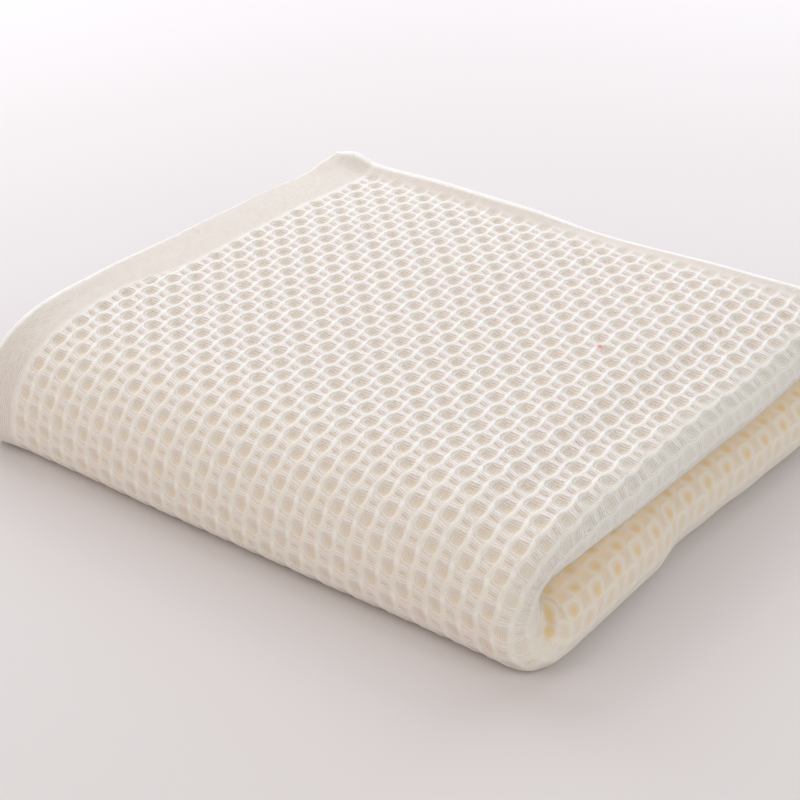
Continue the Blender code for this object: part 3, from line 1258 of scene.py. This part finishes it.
    def _zones(self, spot: Spot) -> Zones:
        """Return which parts of the cloth a place belongs to."""
        weave = self.weave
        column, row = spot.column, spot.row
        calm = row.step(*weave.calm_rows)
        side = column.step(*weave.side_columns)
        lower = row.step(*weave.lower_rows)
        wide = row.step(*weave.hem_wide_rows)
        border = column - weave.first_cord - wide
        honeycomb = border.step(*self.border_edge)
        honeycomb = honeycomb * row.step(weave.last_row + weave.back_fade, weave.last_row)
        honeycomb = honeycomb * row.step(weave.first_row - weave.fade, weave.first_row)
        honeycomb = honeycomb * column.step(weave.last_cord + weave.fade, weave.last_cord)
        return Zones(
            calm=calm,
            calmer=(calm * self.calm_even_shade).most(side * lower * self.side_even_shade),
            side=side,
            lower=lower,
            lip=self._lip(column, row),
            crevice=self._crevice(column, row),
            cord=(spot.from_line + calm * self.front_cord_more).step(*self.cord_edge),
            outside=spot.ring.step(*self.ring_edge),
            border=border,
            honeycomb=honeycomb,
        )

    def _hollow_colour(self, spot: Spot, zones: Zones) -> Field:
        """Return the colour of the hollows, the pits and the cross threads, with painted shade on
        the hollows' walls and painted warm shade in their middles and the pits.
        """
        column, row = spot.column, spot.row
        nose = column.step(*self.nose_start)
        pale = nose * row.step(*self.pale_rows) * self.pale_share
        low_pale = nose * column.step(*self.low_pale_columns) * row.step(*self.low_pale_rows)
        pale = pale.most(low_pale * self.low_pale_share)
        aside = abs(spot.aside - self.core_aside)
        reach = self._hollow_reach(aside, spot.from_hollow, self.core_corner)
        centre = zones.calm.between(reach.step(*self.core_edge), reach.step(*self.front_core_edge))
        in_pit = spot.pit.step(*self.pit_edge) * self.pit_share
        # Painted shade on the hollows' walls, sage by the cords and blush further in
        painted_wall_shade = spot.from_line.step(*self.wall_edge).colour(self.sage, self.blush)
        colour = zones.outside.colour(painted_wall_shade, self.thread)
        # Painted warm shade in the pits and the hollows' middles, darker and warmer on the front
        # fold
        colour = in_pit.colour(colour, zones.calm.colour(self.pit, self.shaded_front_pit))
        shaded_core = zones.calm.colour(self.shaded_hollow, self.shaded_front_hollow)
        return (centre * (1.0 - pale)).colour(colour, shaded_core)

    def _mottled(self, colour: Field, spot: Spot) -> Field:
        """Return a colour with faint pink and green clouds."""
        column, row = spot.true_column, spot.true_row
        cloud = column.noise(row, self.blush_cloud, 1.0).step(*self.blush_edge) * self.mottle
        colour = cloud.colour(colour, self.blush)
        cloud = row.noise(column, self.sage_cloud, 1.0).step(*self.sage_edge) * self.mottle
        return (cloud * spot.ring.step(*self.sage_ring)).colour(colour, self.sage)

    def _corded(self, colour: Field, spot: Spot, zones: Zones) -> Field:
        """Return a colour with the hollows' rims, the cords, the knots and the lips, painted shade
        on the front fold's cords and an even colour of painted soft shade on the front fold and
        the lower nose.
        """
        rim = spot.ring.step(*self.rim_inner) * spot.ring.step(*self.rim_outer) * self.rim_share
        # The front fold's cords get painted shade
        cord = zones.calm.colour(self.cord, self.shaded_front_cord)
        colour = (rim * (1.0 - zones.calm * self.calm_rim_loss)).colour(colour, cord)
        colour = zones.cord.colour(colour, cord)
        colour = spot.knot.colour(colour, self.knot)
        upper = zones.side * (1.0 - zones.lower)
        lip = (zones.lip * self.lip_share).most(upper * self.upper_share)
        # An even colour of painted soft shade over the front fold and the lower nose
        return zones.calmer.colour(lip.colour(colour, self.lip), self.even_shade)

    def _painted_crevice_shade(self, colour: Field, spot: Spot, zones: Zones) -> Field:
        """Return a colour with the painted amber shade and painted bounce light of the crevice."""
        column, row, crevice = spot.column, spot.row, zones.crevice
        # Painted warm shade between the hollows and painted bounce light on their bodies in the
        # crevice
        deep = column.step(*self.tan_columns) * crevice
        between = deep.colour(self.straw, self.tan)
        crevice_shade = spot.ring.step(*self.body_edge).colour(between, self.cream)
        colour = (crevice * self.crevice_shade_share).colour(colour, crevice_shade)
        # Painted amber shade in the crevice's hollows and at its front end
        aside = abs(spot.aside + self.amber_aside)
        amber_shade = self._hollow_reach(aside, spot.from_hollow, ELLIPSE).step(*self.amber_edge)
        amber_shade = amber_shade * crevice * (1.0 - self._patch(column, row, self.web_patch))
        for patch in self.painted_shade_patches:
            amber_shade = amber_shade.most(self._patch(column, row, patch))
        return amber_shade.colour(colour, self.amber_shade)

    def _edged(self, colour: Field, spot: Spot, zones: Zones) -> Field:
        """Return a colour with the speck, the plain hems and the white rims, which are painted
        highlights on the rounded edges.
        """
        column, row = spot.column, spot.row
        speck = self._reach(
            abs(spot.true_column - self.speck_place[0]),
            abs(spot.true_row - self.speck_place[1]),
            ELLIPSE,
        )
        colour = speck.step(*self.speck_edge).colour(colour, self.speck)
        colour = zones.honeycomb.colour(self.plain, colour)
        line = abs(zones.border + self.weave.hem_ridge_back).step(*self.border_line)
        colour = (line * self.border_share).colour(colour, self.cord)
        shape, ends = self.shape, self.shape.course
        # A painted highlight along the rounded edges of the hems and the selvedges
        highlight_width = row.step(*self.hem_highlight_rows).between(*self.hem_highlight)
        end_highlight = (column - ends["hem"] - highlight_width).step(*self.hem_highlight_edge)
        last = ends["second run"]
        end_highlight = end_highlight.most(column.step(last - self.outer_highlight, last - self.full_highlight))
        side_highlight = (shape.last_row - row).step(self.outer_highlight, self.full_highlight)
        side_highlight = side_highlight.most((row - shape.first_row).step(self.outer_highlight, self.full_highlight))
        return end_highlight.most(side_highlight).colour(colour, self.rim)

    def _threads(self, spot: Spot, zones: Zones) -> Field:
        """Return the threads' height, which also shades the colour a little."""
        column, row, ring = spot.column, spot.row, spot.ring
        upper_half = spot.above.step(*self.rung_start)
        rungs = spot.above.wave(self.rung) * upper_half * spot.from_line.step(*self.rung_edge)
        rings = ring.wave(1.0 / self.ring_count) * ring.step(*self.rings_edge)
        rings = upper_half.between(rings, rungs)
        strands = column.wave(self.strand) * ring.step(*self.strand_edge) * self.strand_share
        cross = spot.from_hollow - self.weave.hollow_half_length - self.cross_start
        cross = cross.wave(self.cross_thread)
        along, across = self.twist
        twist = (row * across + column * along).wave(1.0) * self.twist_share
        woven = zones.cord.between(zones.outside.between(rings + strands, cross), twist)
        broken = spot.true_column.noise(spot.true_row, self.broken_cloud)
        broken = broken.step(*self.broken_edge) * self.broken_share + self.broken_least
        woven = woven * broken * (1.0 - zones.lip * self.lip_loss)
        along, across = self.slub_draw
        slubs = (column * along).noise(row * across, self.slub_cloud).step(*self.slub_edge)
        along, across = self.rib_draw
        uneven = (column * along).noise(row * across, self.slub_cloud)
        ribs = spot.true_column.wave(self.hem_rib) * slubs + uneven - 0.5
        everywhere, outside = self.crevice_loss
        lost = zones.crevice * (ring.step(*self.crevice_ring) * outside + everywhere)
        woven = woven * (1.0 - zones.calmer * self.even_loss) * (1.0 - lost)
        return zones.honeycomb.between(ribs * self.rib_share, woven)

    def build(self) -> bpy.types.Material:
        """Return the material."""
        material = bpy.data.materials.new("honeycomb_cotton")
        material.use_nodes = True
        material.cycles.emission_sampling = "NONE"
        tree = material.node_tree
        shader = tree.nodes["Principled BSDF"]
        spot = self._spot(tree)
        zones = self._zones(spot)
        colour = self._mottled(self._hollow_colour(spot, zones), spot)
        colour = self._corded(colour, spot, zones)
        colour = self._painted_crevice_shade(colour, spot, zones)
        colour = self._edged(colour, spot, zones)
        threads = self._threads(spot, zones)
        colour = (threads * self.thread_contrast + 1.0).scaling(colour)
        tree.links.new(colour.socket, shader.inputs["Base Color"])
        # Painted glow in the crevice, standing in for light shining through and bouncing in the
        # cotton
        shader.inputs["Emission Color"].default_value = self.painted_glow
        painted_glow = spot.column.step(*self.painted_glow_columns) * zones.crevice * self.painted_glow_strength
        tree.links.new(painted_glow.socket, shader.inputs["Emission Strength"])
        fuzz = spot.true_column.noise(spot.true_row, self.fuzz_cloud, self.fuzz_detail)
        bump = tree.nodes.new("ShaderNodeBump")
        bump.inputs["Strength"].default_value = 1.0
        bump.inputs["Distance"].default_value = 1.0
        height = (threads + fuzz) * self.thread_height
        tree.links.new(height.socket, bump.inputs["Height"])
        tree.links.new(bump.outputs[0], shader.inputs["Normal"])
        shader.inputs["Roughness"].default_value = self.roughness
        shader.inputs["Specular IOR Level"].default_value = self.specular
        shader.inputs["Sheen Weight"].default_value = self.sheen
        shader.inputs["Sheen Roughness"].default_value = self.sheen_roughness
        return material


@dataclass(frozen=True)
class SoftLight:
    """A square area light that points at the towel."""

    name: str
    place: tuple[float, float, float]
    size: float
    power: float
    colour: tuple[float, float, float]

    def build(self) -> None:
        """Add the light to the scene."""
        data = bpy.data.lights.new(self.name, "AREA")
        data.shape = "SQUARE"
        data.size = self.size
        data.energy = self.power
        data.color = self.colour
        light = bpy.data.objects.new(self.name, data)
        bpy.context.scene.collection.objects.link(light)
        light.location = self.place
        way = -np.array(self.place)
        distance = float(np.linalg.norm(way))
        turn = math.atan2(way[1], way[0]) - math.pi / 2
        light.rotation_euler = (math.acos(-way[2] / distance), 0.0, turn)


WINDOW_COLOUR = (0.85, 0.93, 1.0)


@dataclass(frozen=True)
class Studio:
    """The pale floor, the soft lights and the camera."""

    camera_place: Numbers = (296.2 * MM, -398.3 * MM, 303.4 * MM)
    camera_turn: Numbers = (59.30, 0.80, 37.13)
    lens: float = 90.0
    sensor: float = 36.0
    clip: Pair = (0.01, 20.0)
    floor_colour: Numbers = (0.74, 0.715, 0.72, 1.0)
    floor_half: float = 2.5
    floor_roughness: float = 0.6
    floor_specular: float = 0.2
    room_colour: Numbers = (1.0, 0.81, 0.76, 1.0)
    room_strength: float = 0.42

    # Two soft windows behind the towel and two wide fills in front of it
    lights: tuple[SoftLight, ...] = (
        SoftLight("left window", (-0.7, 0.25, 0.5), 0.6, 3.9, WINDOW_COLOUR),
        SoftLight("back window", (-0.1, 0.75, 0.45), 0.6, 3.2, WINDOW_COLOUR),
        SoftLight("left fill", (-0.7, -0.9, 0.9), 1.2, 5.8, (1.0, 0.98, 0.92)),
        SoftLight("right fill", (1.1, -0.3, 0.8), 1.2, 6.2, (0.87, 1.0, 0.99)),
    )

    def build_floor(self) -> None:
        """Add the floor, which isn't part of the object."""
        bpy.ops.object.select_all(action="DESELECT")
        bpy.ops.mesh.primitive_plane_add(size=2 * self.floor_half)
        floor = bpy.context.object
        floor.name = "floor"
        material = bpy.data.materials.new("pale_floor")
        material.use_nodes = True
        shader = material.node_tree.nodes["Principled BSDF"]
        shader.inputs["Base Color"].default_value = self.floor_colour
        shader.inputs["Roughness"].default_value = self.floor_roughness
        shader.inputs["Specular IOR Level"].default_value = self.floor_specular
        floor.data.materials.append(material)

    def build_lights(self) -> None:
        """Add the lights and a warm room."""
        for light in self.lights:
            light.build()
        world = bpy.data.worlds.new("soft_room")
        bpy.context.scene.world = world
        world.use_nodes = True
        sky = world.node_tree.nodes["Background"]
        sky.inputs["Color"].default_value = self.room_colour
        sky.inputs["Strength"].default_value = self.room_strength

    def build_camera(self) -> None:
        """Add the camera at the photograph's place."""
        data = bpy.data.cameras.new("camera")
        data.lens = self.lens
        data.sensor_width = self.sensor
        data.clip_start, data.clip_end = self.clip
        camera = bpy.data.objects.new("camera", data)
        bpy.context.scene.collection.objects.link(camera)
        camera.location = self.camera_place
        camera.rotation_euler = [math.radians(angle) for angle in self.camera_turn]
        bpy.context.scene.camera = camera

    def build(self) -> None:
        """Build the whole setting."""
        bpy.context.scene.view_settings.view_transform = "Standard"
        self.build_floor()
        self.build_lights()
        self.build_camera()


def main() -> None:
    """Build the setting and the towel, and hand the towel's pieces to the frame."""
    logging.basicConfig(level=logging.INFO)
    Studio().build()
    weave = Weave()
    shape = FoldedShape()
    towel = HandTowel(shape, weave)
    cotton = CottonFinish(weave, shape).build()
    pieces = towel.build()
    for piece in pieces:
        piece.data.materials.append(cotton)
        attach(piece, "root")
    for piece in pieces:
        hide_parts("towel")


if __name__ == "__main__":
    main()
